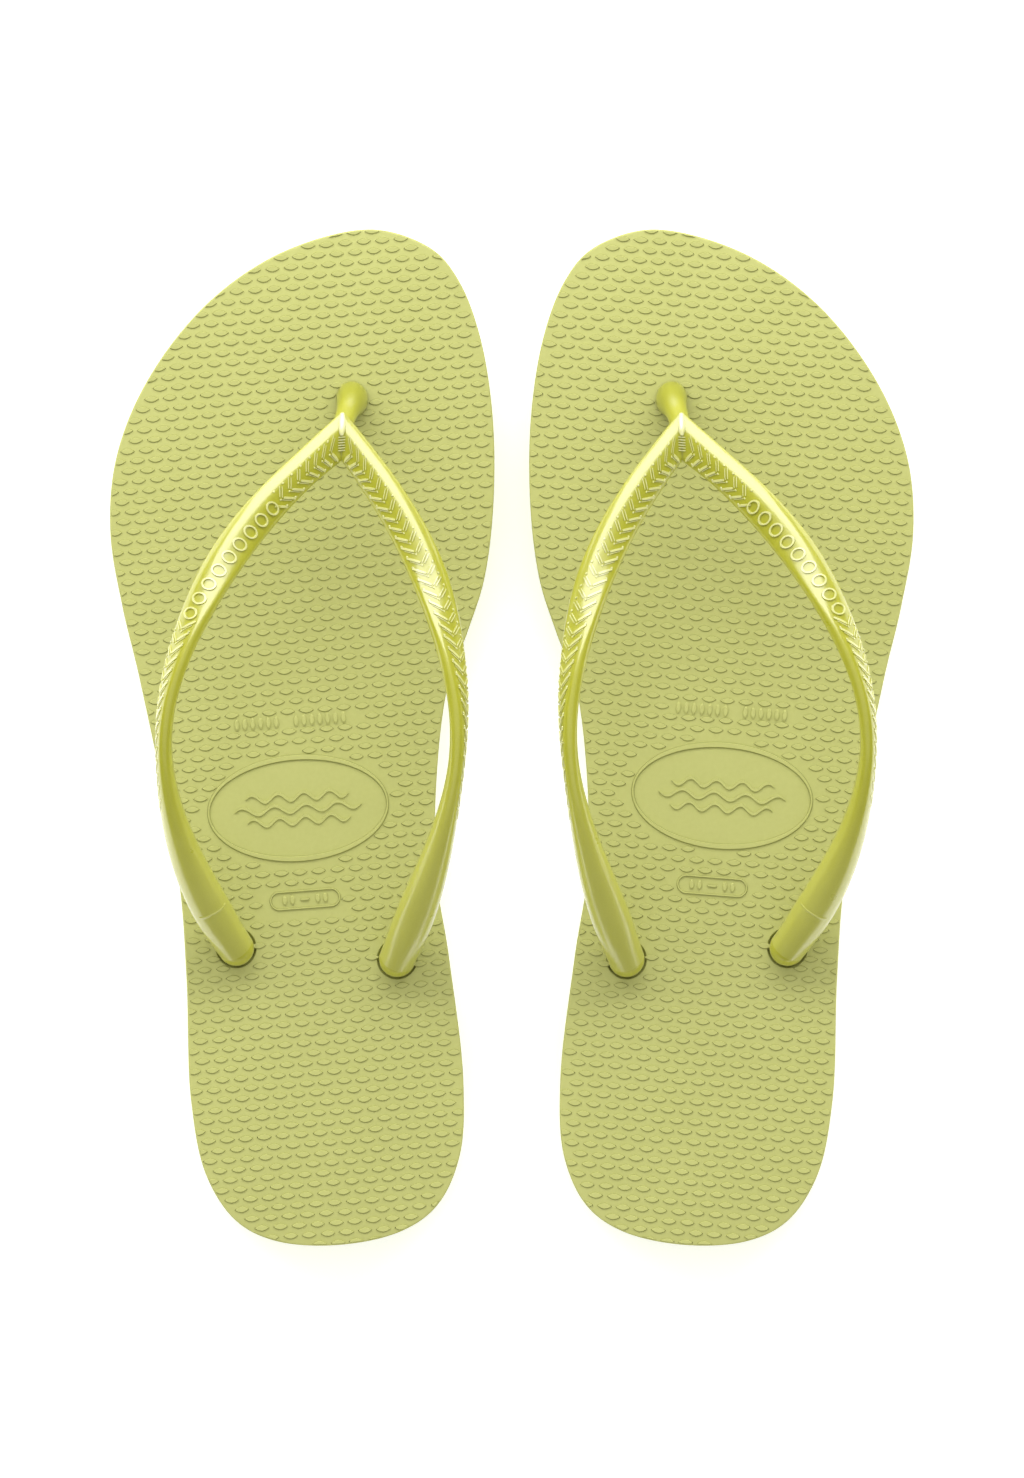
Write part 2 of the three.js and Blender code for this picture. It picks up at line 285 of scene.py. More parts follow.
def through(points, steps):
    """A smooth closed line through the points."""
    line = []
    for i in range(len(points)):
        a, b, c, d = (Vector(points[(i + k) % len(points)]) for k in (-1, 0, 1, 2))
        before, here, after = (math.sqrt((q - p).length) for p, q in ((a, b), (b, c), (c, d)))
        leave = ((b - a) / before - (c - a) / (before + here) + (c - b) / here) * here
        arrive = ((c - b) / here - (d - b) / (here + after) + (d - c) / after) * here
        for k in range(steps):
            t = k / steps
            line.append(
                tuple(
                    b * (2 * t**3 - 3 * t**2 + 1) + leave * (t**3 - 2 * t**2 + t)
                    + c * (3 * t**2 - 2 * t**3) + arrive * (t**3 - t**2)
                )
            )
    return line


def sole_outline(count):
    def heel(side):
        return [(side * share * HEEL_WIDTH / 2, y) for share, y in HEEL_SHAPE]

    def fore(points):
        return [(FORE_OFFSET + share * FORE_WIDTH / 2, SOLE_LENGTH - y) for share, y in points]

    def waist(side):
        return [(WAIST_OFFSET + side * WAIST_WIDTH / 2, WAIST_FROM_HEEL)]

    right = heel(1) + waist(1) + fore(BIG_TOE_SIDE)
    left = fore(LITTLE_TOE_SIDE) + waist(-1) + heel(-1)[::-1]
    return spaced(through([(0, 0)] + right + left, 30), count)


def inset(outline, distance):
    """The outline moved inwards."""
    moved = []
    for i, (x, y) in enumerate(outline):
        (ax, ay), (bx, by) = outline[i - 1], outline[(i + 1) % len(outline)]
        length = math.hypot(bx - ax, by - ay)
        moved.append((x - (by - ay) / length * distance, y + (bx - ax) / length * distance))
    return moved


OUTLINE = sole_outline(440)
HEEL_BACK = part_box("left_outsole")[0].y / MM - min(
    x * math.sin(TOE_OUT) + y * math.cos(TOE_OUT) for x, y in OUTLINE
)

# ---------------------------------------------------------------- arms of the strap

# Each arm: which side it is on, its hole, and the handles of its middle line at the V and at the
# hole, with a heading in degrees from the shoe's length, a length in plan and a rise.
ARMS = [
    (1, Vector((20.7, 72.8, HEEL_HEIGHT + TAIL_RISE)), (35.3, 65.3, 18.5), (27.8, 50.7, 43)),
    (-1, Vector((-20.7, 78.9, HEEL_HEIGHT + TAIL_RISE)), (46.2, 9.4, 2.7), (30.1, 91.5, 59)),
]
MITRE = math.radians((ARMS[0][2][0] - ARMS[1][2][0]) / 2)
MITRE_FACE = Vector((math.cos(MITRE), math.sin(MITRE), 0))
MITRE_BLEND = 15
BAND_SQUARENESS = 2.5
ROLL_AT_V = -26
ROLL_AT_TAIL = 90


def rounded_profile(corners, share, rounds):
    """A closed line whose corners are cut, and cut again."""
    line = []
    for i, corner in enumerate(corners):
        for other in (corners[i - 1], corners[(i + 1) % len(corners)]):
            line.append(tuple(lerp(a, b, share) for a, b in zip(corner, other)))
    for _ in range(rounds):
        ends = line[1:] + line[:1]
        line = [
            tuple(lerp(a, b, cut) for a, b in zip(here, there))
            for here, there in zip(line, ends) for cut in (0.25, 0.75)
        ]
    return line


# The band's section as shares of its half width and half thickness, from its outer edge over its
# face: a sloping outer wall, a flat face for the pattern, a short inner wall and the underside.
PROFILE = rounded_profile(
    [(0.94, -0.55), (0.47, 1.02), (-0.82, 0.98), (-1.02, 0.1), (-0.86, -0.98), (0.6, -1.02)], 0.24, 3
)


class Arm:
    """One arm's middle line, measured along its length, and the band's section on it."""

    def __init__(self, side, end, start_handle, end_handle, push):
        self.side = side

        def handle(base, heading, length, rise, way):
            angle = math.radians(heading)
            return base + Vector((side * length * math.sin(angle), way * length * math.cos(angle), rise))

        first = handle(APEX, *start_handle, -1)
        second = handle(end, *end_handle, 1) + Vector((side * push, 0, 0))
        self.line = interpolate_bezier(APEX, first, second, end, 1200)
        self.marks = [0.0]
        for a, b in zip(self.line, self.line[1:]):
            self.marks.append(self.marks[-1] + (b - a).length)
        self.length = self.marks[-1]

    def at(self, distance):
        """The point and direction at a distance from the V."""
        goal = min(max(distance, 0), self.length)
        low, high = 0, len(self.marks) - 1
        while high - low > 1:
            middle = (low + high) // 2
            low, high = (middle, high) if self.marks[middle] <= goal else (low, middle)
        share = (goal - self.marks[low]) / (self.marks[high] - self.marks[low])
        before, after = self.line[max(low - 1, 0)], self.line[min(high + 1, len(self.line) - 1)]
        return self.line[low].lerp(self.line[high], share), (after - before).normalized()

    def size(self, distance):
        share = distance / self.length
        band = lerp(9.6, 10.4, smoothstep(share, 0, 0.2))
        swelling = smoothstep(share, 0.6, 0.92)
        ending = smoothstep(share, 0.92, 1)
        width = lerp(lerp(band, 9.6, swelling), TAIL_END, ending)
        return width, lerp(lerp(4.2, 10.2, swelling), TAIL_END, ending)

    def section(self, distance, step):
        """A corner of the band's section, from its middle: outwards, and out of its face."""
        x, y = PROFILE[step % len(PROFILE)]
        morph = smoothstep(distance / self.length, 0.5, 0.8)
        angle = math.atan2(y, x)
        c, s = math.cos(angle), math.sin(angle)
        flat = lerp(2 / BAND_SQUARENESS, 1, morph)
        round_x, round_y = math.copysign(abs(c) ** flat, c), math.copysign(abs(s) ** flat, s)
        width, thickness = self.size(distance)
        return lerp(x, round_x, morph) * width / 2, lerp(y, round_y, morph) * thickness / 2

    def surface(self, distance, place, lift=0.0):
        """A point on the band, at a place round its section, which may lie between two corners."""
        centre, along = self.at(distance)
        out = Vector((-along.y, along.x, 0)).normalized() * self.side
        up = along.cross(out) * self.side
        roll = math.radians(lerp(ROLL_AT_V, ROLL_AT_TAIL, smoothstep(distance / self.length, 0.12, 0.64)))
        across = out * math.cos(roll) - up * math.sin(roll)
        face = up * math.cos(roll) + out * math.sin(roll)
        step, share = int(place), place - int(place)
        (ax, ay), (bx, by) = self.section(distance, step), self.section(distance, step + 1)
        (px, py), (qx, qy) = self.section(distance, step - 1), self.section(distance, step + 2)
        normal = across * lerp(by - py, qy - ay, share) - face * lerp(bx - px, qx - ax, share)
        normal.normalize()
        point = centre + across * lerp(ax, bx, share) + face * lerp(ay, by, share) + normal * lift
        slide = max(0, 1 - distance / MITRE_BLEND)
        if slide:
            lean = self.at(0)[1]
            point -= lean * ((point - centre).dot(MITRE_FACE) / lean.dot(MITRE_FACE) * slide)
        return point

    def face_place(self, distance, offset):
        """The place round the section of a point on the face, at an offset outwards from its middle."""
        x = 2 * offset / self.size(distance)[0]
        for step in range(len(PROFILE) // 2 + 8):
            (ax, ay), (bx, by) = PROFILE[step], PROFILE[step + 1]
            if bx <= x <= ax and by > -0.5:
                return step + (ax - x) / max(ax - bx, 1e-6)
        return 0 if x > 0 else step

    def on_face(self, distance, offset, lift):
        return self.surface(distance, self.face_place(distance, offset), lift)


MOULD_LINE = 0.905  # the mould line's place, as a share of the lateral arm's length


def arm_steps(arm):
    """Distances of the band's rings, closer near the V and at the mould line."""
    marks = [i * 0.4 for i in range(38)]
    marks += [lerp(marks[-1], arm.length, (i + 1) / 132) for i in range(132)]
    line = MOULD_LINE * arm.length
    return sorted(marks + [line + step for step in (-0.2, 0, 0.2)])


def mould_lift(arm, distance, step):
    """How far the thin mould line across the top of the lateral arm's tail stands up."""
    near = arm.side < 0 and abs(distance - MOULD_LINE * arm.length) < 0.1
    return 0.13 if near and PROFILE[step][0] < -0.7 else 0


def strap_band(arms):
    """Both arms as one bent tube that is welded along the mitre of the V."""
    mitre = [(arms[0].surface(0, step) + arms[1].surface(0, step)) / 2 for step in range(len(PROFILE))]
    bm = bmesh.new()
    for arm in arms:
        marks = arm_steps(arm)

        def place(around, row):
            if not row:
                return mitre[around]
            return arm.surface(marks[row], around, mould_lift(arm, marks[row], around))

        tube(bm, len(PROFILE), len(marks) - 1, place)
    bmesh.ops.remove_doubles(bm, verts=bm.verts[:], dist=CLOSE)
    for reach, times in ((0.8, 3), (1.6, 2)):
        near = [v for v in bm.verts if abs((v.co - APEX).dot(MITRE_FACE)) < reach]
        for _ in range(times):
            bmesh.ops.smooth_vert(
                bm, verts=near, factor=0.5, use_axis_x=True, use_axis_y=True, use_axis_z=True
            )
    open_edges = [e for e in bm.edges if len(e.link_faces) == 1]
    bmesh.ops.holes_fill(bm, edges=open_edges, sides=0)
    # painted highlight: the arms are painted paler towards their tails, fading in from 130 mm to 90 mm from
    # the heel's back
    raised = painted_light_layer(bm)
    for vert in bm.verts:
        vert[raised] = 0.25 * smoothstep(-vert.co.y, -130, -90)
    return solid(even(bm))


def toe_post():
    """The flared post between the toes, leaning back into the underside of the V."""
    foot = Vector((TOE_HOLE.x, TOE_HOLE.y, FORE_HEIGHT + 0.3))
    head = APEX + Vector((0.2, 1.4, -1.4))
    line = interpolate_bezier(foot, foot + Vector((0, 0, 7)), head + Vector((0.6, 2.7, -5.3)), head, 41)

    def place(around, row):
        angle = math.tau * around / 32
        along = (line[min(row + 1, 40)] - line[max(row - 1, 0)]).normalized()
        forwards = along.cross(Vector((1, 0, 0))).normalized() if row else Vector((0, 1, 0))
        across = forwards.cross(along).normalized() if row else Vector((1, 0, 0))
        narrowing = smoothstep(row / 40, 0, 0.7)
        width, depth = (lerp(foot, neck, narrowing) for foot, neck in zip(POST_FOOT, POST_NECK))
        return line[row] + across * (math.cos(angle) * width / 2) + forwards * (math.sin(angle) * depth / 2)

    bm = closed_tube(bmesh.new(), 32, 40, place)
    # painted shade: the post is painted darker towards its foot, fading in from 28 mm up to 20 mm up
    raised = painted_light_layer(bm)
    for vert in bm.verts:
        vert[raised] = -0.33 * smoothstep(-vert.co.z, 4 - APEX.z, 12 - APEX.z)
    return solid(bm)


def plug(x, y):
    """The retaining plug under the sole: a round-edged disc with a shallow dimple, spun about its stem."""
    profile = [
        (0, 0.9), (2.6, 0.9), (3.4, 0.5), (6.9, 0.5), (7.7, 0.75), (8, 1.4), (8, 2.2),
        (7.6, 2.8), (6.9, 3.1), (0, 3.1),
    ]
    bm = bmesh.new()
    verts = [bm.verts.new((r, 0, z)) for r, z in profile]
    edges = [bm.edges.new(pair) for pair in zip(verts, verts[1:])]
    bmesh.ops.spin(
        bm, geom=verts + edges, cent=(0, 0, 0), axis=(0, 0, 1), angle=math.tau, steps=40, use_merge=True
    )
    bmesh.ops.remove_doubles(bm, verts=bm.verts[:], dist=CLOSE)
    bmesh.ops.translate(bm, verts=bm.verts[:], vec=(x, y, 0))
    return solid(even(bm))


def bar_mesh():
    """One raised bar of the strap's herringbone: a low ridge, 1 long, 1 wide and 1 high."""
    bm = bmesh.new()
    bmesh.ops.create_cube(bm, size=1)
    long_edges = [e for e in bm.edges if abs(e.verts[0].co.x - e.verts[1].co.x) > 0.5]
    bmesh.ops.subdivide_edges(bm, edges=long_edges, cuts=3)
    for vert in bm.verts:
        top = vert.co.z > 0
        end = abs(vert.co.x) > 0.49
        vert.co.z = 1 if top else -1
        if top:
            vert.co.y *= 0.5 if end else 0.62
            vert.co.x *= 0.92 if end else 1
        elif end:
            vert.co.y *= 0.8
    mesh = bpy.data.meshes.new("bar")
    even(bm).to_mesh(mesh)
    bm.free()
    return mesh


def stud_mesh():
    """One round raised stud, 1 across and 1 high."""
    bm = bmesh.new()
    bmesh.ops.create_cone(bm, cap_ends=True, segments=10, radius1=0.5, radius2=0.5, depth=2)
    top = [f for f in bm.faces if f.normal.z > 0.9]
    bmesh.ops.inset_region(bm, faces=top, thickness=0.16, depth=0, use_even_offset=True)
    for vert in bm.verts:
        if vert.co.z > 0 and vert.co.xy.length > 0.45:
            vert.co.z = 0.45
    mesh = bpy.data.meshes.new("stud")
    bm.to_mesh(mesh)
    bm.free()
    return mesh


# One cell of the herringbone: shape, offset from the band's middle (outwards), distance along the
# arm, length, width, height and the angle of its length from the arm, outwards.
CELL = [
    ("bar", -2.15, 0.0, 4.0, 0.95, 0.34, 44),
    ("bar", -2.05, 0.95, 3.2, 0.34, 0.2, 44),
    ("bar", 0.55, 0.65, 3.1, 0.36, 0.3, -48),
    ("bar", 1.1, 1.1, 3.1, 0.36, 0.3, -48),
    ("stud", -3.2, 1.75, 0.8, 0.6, 0.28, 0),
    ("stud", -0.75, 2.25, 0.7, 0.5, 0.24, 0),
    ("stud", 2.05, 2.25, 0.75, 0.55, 0.26, 0),
]
CELL_PITCH = 3.35
RINGS = 9
RINGS_START = 26.5
RINGS_END = 66
PATTERN_START = 3
PATTERN_END = 0.72  # a share of the arm's length


def herringbone(arm, shapes):
    """Raised bars and studs on one band, from the V until the tail swells."""
    bm = bmesh.new()
    for i in range(int((PATTERN_END * arm.length - 2.2) / CELL_PITCH)):
        start = PATTERN_START + i * CELL_PITCH
        fade = 1 - 0.7 * smoothstep(start / arm.length, 0.5, 0.74)
        for shape, offset, shift, length, width, height, angle in CELL:
            distance = start + shift
            if arm.side < 0 and RINGS_START < distance < RINGS_END:
                continue
            cos, sin = math.cos(math.radians(angle)), math.sin(math.radians(angle))
            # fade thins the painted highlight on the tops as well as their height
            for vert in stamp(bm, shapes[shape], fade):
                p, q, h = vert.co.x * length, vert.co.y * width, vert.co.z
                lift = h * height * fade if h > 0 else -0.5
                vert.co = arm.on_face(distance + p * cos - q * sin, offset + p * sin + q * cos, lift)
    return solid(bm)


def crease_point(arms, offset):
    """A point on the crease of the V."""
    return (arms[0].on_face(0, offset, 0) + arms[1].on_face(0, offset, 0)) / 2


def crotch_bars(arms, shapes):
    """The short bars one behind the other on the crease of the V."""
    bm = bmesh.new()
    for i in range(6):
        middle = crease_point(arms, lerp(0.5, -2.0, i / 5))
        for vert in stamp(bm, shapes["bar"]):
            x, y, top = vert.co.x * 2.0, vert.co.y * 0.4, vert.co.z > 0
            vert.co = middle + Vector((x, y, 0.5 + 0.25 * abs(x) if top else -0.5))
    return solid(bm)


def crest(arms):
    """The smooth rounded ridge at the front of the V."""

    def place(around, row):
        share = row / 14
        angle = math.tau * around / 16
        size = math.sin(math.pi * lerp(0.12, 0.9, share)) ** 0.7
        middle = crease_point(arms, lerp(3.9, 0.8, share)) + Vector((0, 0, lerp(0, 0.6, share)))
        return middle + Vector((math.cos(angle) * 0.95 * size, 0, math.sin(angle) * 0.6 * size))

    bm = closed_tube(bmesh.new(), 16, 14, place)
    # painted highlight: the whole ridge is painted pale, for the bright streak at the front of the V
    raised = painted_light_layer(bm)
    for vert in bm.verts:
        vert[raised] = 1.3
    return solid(bm)


def beads(arm, shapes):
    """The row of plain rings on the lateral arm, where it has no herringbone."""
    bm = bmesh.new()
    for i in range(RINGS):
        distance = lerp(RINGS_START + 2.2, RINGS_END - 2.2, i / (RINGS - 1))
        for vert in stamp(bm, shapes["ring"]):
            lift = 0.42 if vert.co.z > 0 else -0.6
            vert.co = arm.on_face(distance + vert.co.x * 3.6, -0.75 + vert.co.y * 4.4, lift)
    return solid(bm)


def ring_mesh():
    """A raised ring, 1 across and 1 high."""
    profile = [(0.5, -1), (0.46, 1), (0.35, 1), (0.3, -1)]

    def place(around, row):
        radius, height = profile[row % 4]
        angle = math.tau * around / 16
        return radius * math.cos(angle), radius * math.sin(angle), height

    bm = bmesh.new()
    tube(bm, 16, 4, place)
    mesh = bpy.data.meshes.new("ring")
    even(bm).to_mesh(mesh)
    bm.free()
    return mesh


def strap(shoe, shapes, material):
    """The strap: bands, post, stems, plugs and pattern as one closed moulding."""
    arms = [Arm(*arm, push) for arm, push in zip(ARMS, SHOES[shoe]["push"])]
    parts = [toe_post(), beads(arms[1], shapes), crotch_bars(arms, shapes), crest(arms)]
    parts += [herringbone(arm, shapes) for arm in arms]
    parts.append(solid(post_bar(TOE_HOLE.x, TOE_HOLE.y, TOE_STEM / 2, 1.8, FORE_HEIGHT + 0.6)))
    parts.append(plug(TOE_HOLE.x, TOE_HOLE.y))
    for _, end, *_ in ARMS:
        parts.append(plug(end.x, end.y))
        parts.append(solid(post_bar(end.x, end.y, STEM / 2, 1.8, end.z)))
        ball = bmesh.new()
        bmesh.ops.create_uvsphere(
            ball, u_segments=44, v_segments=24, radius=TAIL_END / 2, matrix=Matrix.Translation(end)
        )
        parts.append(solid(ball))
    form = boolean(strap_band(arms), "UNION", *parts)
    piece = finished(form, "moulded_strap", shoe, material, sharp=40)
    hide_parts(f"{shoe}_strap")
    return piece


HOLES = [(TOE_HOLE, TOE_STEM / 2 + HOLE_CLEARANCE)]
HOLES += [(end, STEM / 2 + HOLE_CLEARANCE) for _, end, *_ in ARMS]


def hole_cutters(low, high):
    """Bars that cut the three holes between two heights."""
    return [solid(post_bar(hole.x, hole.y, radius, low, high)) for hole, radius in HOLES]


def hole_mouths():
    """The widened mouths of the two rear holes."""
    low, high = HEEL_HEIGHT - MOUTH_DEPTH, HEEL_HEIGHT + 0.2
    return [
        solid(post_bar(hole.x, hole.y, radius, low, high, radius + MOUTH_FLARE))
        for hole, radius in HOLES[1:]
    ]


# ---------------------------------------------------------------- footbed

GRAIN_PITCH = 4.84
GRAIN_ROWS = 2.61
GRAIN_PHASE = (-0.25, 0.65)


def grain_mesh():
    """One grain: a low pointed plateau with steep sides."""
    bm = bmesh.new()
    bmesh.ops.create_cone(bm, cap_ends=True, segments=12, radius1=1, radius2=1, depth=1)
    for _ in range(2):
        top = [max(bm.faces, key=lambda f: (f.calc_center_median().z, -f.calc_area()))]
        bmesh.ops.inset_region(bm, faces=top, thickness=0.2, depth=0, use_even_offset=True)
    rings = [(1.95, 0.88, -0.3), (1.95, 0.88, 0), (1.68, 0.64, 0.3), (1.3, 0.4, 0.24)]
    for vert in bm.verts:
        ring = 0 if vert.co.z < 0 else 1 + round((1 - vert.co.xy.length) / 0.2)
        x = vert.co.x / vert.co.xy.length
        half_length, half_width, height = rings[ring]
        vert.co = (x * half_length, math.copysign(1 - x * x, vert.co.y) * half_width, height)
    mesh = bpy.data.meshes.new("grain")
    bm.to_mesh(mesh)
    bm.free()
    return mesh


def raised_ring(centre, outer, inner, height, slope, straight=0.0, sides=96):
    """A raised elliptical ring on the footbed, or a capsule's when it has a straight part."""
    profile = [
        (*outer, -FOOT_DEPTH), (*outer, 0), (outer[0] - slope, outer[1] - slope, height),
        (inner[0] + slope, inner[1] + slope, height), (*inner, 0), (*inner, -FOOT_DEPTH),
    ]

    def place(around, row):
        half_x, half_y, rise = profile[row % 6]
        angle = math.tau * (around + 0.5) / sides
        x = math.cos(angle) * half_x
        y = math.sin(angle) * half_y
        return centre[0] + x + math.copysign(straight, x), centre[1] + y, HEEL_HEIGHT + rise

    bm = bmesh.new()
    tube(bm, sides, 6, place)
    return even(bm)


def wave(bm, centre, length, swing, turns, width, height):
    """A raised wavy line."""
    made = bmesh.ops.create_grid(bm, x_segments=72, y_segments=1, size=0.5)
    faces = list({f for v in made["verts"] for f in v.link_faces})
    grown = bmesh.ops.extrude_face_region(bm, geom=faces)
    top = set(new_verts(grown))
    for vert in list(made["verts"]) + list(top):
        share = vert.co.x + 0.5
        taper = min(1, 9 * min(share, 1 - share) + 0.25)
        wide = width * taper * (0.62 if vert in top else 1)
        x = centre[0] + vert.co.x * length
        y = centre[1] + swing * math.sin(math.tau * turns * share) + vert.co.y * wide
        vert.co = (x, y, HEEL_HEIGHT + (height if vert in top else -FOOT_DEPTH))


def small_bar(bm, shape, x, y, length, width, height):
    """A little raised bar along x, or across it."""
    for vert in stamp(bm, shape):
        z = height * vert.co.z if vert.co.z > 0 else 0
        vert.co = (x + vert.co.x * length, y + vert.co.y * width, HEEL_HEIGHT + z)


def heel_print(shoe, shapes):
    """The badge, the size frame and the row of marks, all plain shapes."""
    place = SHOES[shoe]
    badge_x, badge_y = place["badge"]
    forms = [
        solid(raised_ring(place["badge"], (23.65, 13.95), (22.85, 12.35), 0.45, 0.28)),
        solid(raised_ring(place["size"], (2.55, 2.55), (1.95, 1.95), 0.4, 0.18, straight=6.7, sides=48)),
    ]
    waves = bmesh.new()
    for lift in (-3.1, 0, 3.1):
        wave(waves, (badge_x, badge_y + lift), 33 - abs(lift) * 2, 1.0, 4, 1.15, 0.42)
    forms.append(solid(even(waves)))
    marks = bmesh.new()
    size_x, size_y = place["size"]
    for x in (-5.3, -3.3, 3.3, 5.3):
        small_bar(marks, shapes["stud"], size_x + x, size_y, 1.3, 2.6, 0.5)
    small_bar(marks, shapes["bar"], size_x, size_y, 2.4, 0.7, 0.45)
    row_x, row_y = place["row"]
    for start, pieces in ((-14.2, 6), (1.2, 7)):
        for i in range(pieces):
            small_bar(marks, shapes["stud"], row_x + start + 0.6 + i * 2.05, row_y, 1.35, 3.2, 0.5)
    forms.append(solid(marks))
    return forms


def is_plain(shoe, x, y):
    """Whether a place on the footbed has no grain: in and close to the heel print and the holes."""
    place = SHOES[shoe]
    dx, dy = x - place["badge"][0], y - place["badge"][1]
    if (dx / 25.2) ** 2 + (dy / 14.9) ** 2 < 1:
        return True
    dx, dy = x - place["size"][0], y - place["size"][1]
    if abs(dx) < 11.2 and abs(dy) < 3.6:
        return True
    dx, dy = x - place["row"][0], y - place["row"][1]
    if abs(dx) < 16.8 and abs(dy) < 2.3:
        return True
    return any(math.hypot(x - hole.x, y - hole.y) < radius + 1.2 for hole, radius in HOLES)


def grains(bm, shoe, shape):
    """The rows of grains, cut off where they cross the sole's edge."""
    draw = random.Random(7 if shoe == "left" else 8)
    edge = inset(OUTLINE, 0.4)
    inwards = [Vector((q[0] - p[0], q[1] - p[1])).normalized() for p, q in zip(OUTLINE, edge)]
    tree = KDTree(len(edge))
    for i, (x, y) in enumerate(edge):
        tree.insert((x, y, 0), i)
    tree.balance()

    def kept_in(x, y):
        """How far a point is inside the edge, and the point moved onto the edge if it is outside."""
        near, i, _ = tree.find((x, y, 0))
        depth = (x - near.x) * inwards[i].x + (y - near.y) * inwards[i].y
        out = min(depth, 0)
        return depth, x - inwards[i].x * out, y - inwards[i].y * out

    for row in range(int(SOLE_LENGTH / GRAIN_ROWS) + 2):
        y = GRAIN_PHASE[1] + row * GRAIN_ROWS
        for column in range(-12, 14):
            x = GRAIN_PHASE[0] + (column + 0.5 * (row % 2)) * GRAIN_PITCH
            inside = kept_in(x, y)[0]
            turn = math.radians(draw.uniform(-2, 2))
            stretch = draw.uniform(0.96, 1.04)
            dx, dy = draw.uniform(-0.06, 0.06), draw.uniform(-0.05, 0.05)
            if inside < -0.5 or is_plain(shoe, x, y):
                continue
            for vert in stamp(bm, shape):
                px, py = vert.co.x * stretch, vert.co.y
                vert.co.x = x + dx + px * math.cos(turn) - py * math.sin(turn)
                vert.co.y = y + dy + px * math.sin(turn) + py * math.cos(turn)
                vert.co.z += HEEL_HEIGHT
                if inside < 3:
                    vert.co.x, vert.co.y = kept_in(vert.co.x, vert.co.y)[1:]


def footbed(shoe, shapes, material):
    bm = prism(OUTLINE, LAYER_SEAM, HEEL_HEIGHT)
    rounded_rim(bm, HEEL_HEIGHT, 0.5, 3)
    rounded_rim(bm, LAYER_SEAM, 0.25, 1)
    for i in range(RAMP_CUTS + 1):
        bmesh.ops.bisect_plane(
            bm, geom=bm.verts[:] + bm.edges[:] + bm.faces[:], dist=1e-4,
            plane_co=(0, lerp(RAMP_START, RAMP_END, i / RAMP_CUTS), 0), plane_no=(0, 1, 0),
        )
    body = boolean(solid(bm), "DIFFERENCE", *hole_cutters(0, 20), *hole_mouths())
    bm = bmesh.new()
    bm.from_mesh(body.data)
    plain = len(bm.verts)
    for form in heel_print(shoe, shapes):
        bm.from_mesh(form.data)
        bpy.data.objects.remove(form)
    grains(bm, shoe, shapes["grain"])
    raised = painted_light_layer(bm)
    # painted shade: the sunk feet of the grains and the heel print are painted dark for the creases round
    # them; their tops get no painted highlight
    for i, vert in enumerate(bm.verts):
        vert[raised] = -1.0 if i >= plain and vert.co.z < HEEL_HEIGHT + CLOSE else 0.0
        if vert.co.z > LAYER_SEAM + 1:
            vert.co.z += top_height(vert.co.y) - HEEL_HEIGHT
    bm.to_mesh(body.data)
    bm.free()
    piece = finished(body, "grained_footbed", shoe, material, sharp=30)
    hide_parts(f"{shoe}_footbed")
    return piece


# ---------------------------------------------------------------- outsole


def outsole(shoe, shapes, material):
    """The outsole: wavy grooves inside a plain rim, with recesses for the plugs."""
    bm = prism(OUTLINE, 0, LAYER_SEAM)
    rounded_rim(bm, 0, 0.6, 3)
    rounded_rim(bm, LAYER_SEAM, 0.25, 1)
    body = solid(bm)
    grooves = bmesh.new()
    for i in range(int(SOLE_LENGTH / GROOVE_PITCH)):
        made = bmesh.ops.create_grid(grooves, x_segments=120, y_segments=1, size=0.5)
        faces = list({f for v in made["verts"] for f in v.link_faces})
        deep = set(new_verts(bmesh.ops.extrude_face_region(grooves, geom=faces)))
        for vert in list(made["verts"]) + list(deep):
            x = vert.co.x * 120
            middle = 4 + i * GROOVE_PITCH + GROOVE_SWING * math.sin(x * math.tau / GROOVE_WAVE)
            y = middle + vert.co.y * (GROOVE_FLOOR if vert in deep else GROOVE_MOUTH)
            vert.co = (x, y, GROOVE_DEPTH if vert in deep else -0.5)
    field = boolean(solid(even(grooves)), "INTERSECT", solid(prism(inset(OUTLINE, PLAIN_RIM), -1, 2)))
    collars = [solid(post_bar(e.x, e.y, RECESS_RADIUS + 2.2, -2, 3)) for e, _ in HOLES]
    field = boolean(field, "DIFFERENCE", *collars)
    recesses = [solid(post_bar(e.x, e.y, RECESS_RADIUS, -1, RECESS_DEPTH)) for e, _ in HOLES]
    body = boolean(body, "DIFFERENCE", field, *recesses, *hole_cutters(-2, 20))
    piece = finished(body, "treaded_outsole", shoe, material, sharp=30)
    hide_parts(f"{shoe}_outsole")
    return piece


# ---------------------------------------------------------------- finishes


class Value:
    """One output of a finish's node; arithmetic on it adds Math nodes."""

    def __init__(self, finish, socket):
        self.finish = finish
        self.socket = socket

    def math(self, operation, *values):
        return self.finish.node("ShaderNodeMath", {"operation": operation}, *values)

    def __add__(self, other):
        return self.math("ADD", self, other)

    def __mul__(self, other):
        return self.math("MULTIPLY", self, other)

    __radd__ = __add__
    __rmul__ = __mul__


